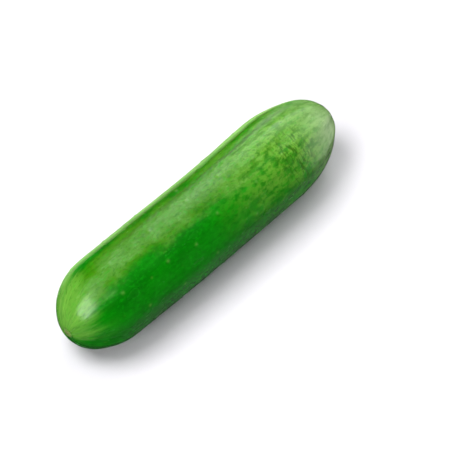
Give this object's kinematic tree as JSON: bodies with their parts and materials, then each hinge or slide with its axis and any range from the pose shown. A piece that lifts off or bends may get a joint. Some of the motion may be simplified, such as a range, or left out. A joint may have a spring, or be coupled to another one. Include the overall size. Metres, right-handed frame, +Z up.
{
  "type": "cucumber",
  "caption": "Whole smooth-skinned cucumber with low ribs, a blunt blossom end with its scar and a short stalk stub, lying on its belly.",
  "frame": {"origin": "under the middle of the fruit's box, on the surface that it lies on", "axes": "+X runs along the fruit from the blossom end to the stem end, +Z is up"},
  "size_m": [0.152, 0.038, 0.0387],
  "materials": {
    "skin": "waxy satin green skin, paler and yellower at the blossom end, with faint lengthwise streaks"
  },
  "bodies": {
    "root": {"cucumber": "skin"}
  },
  "joints": []
}
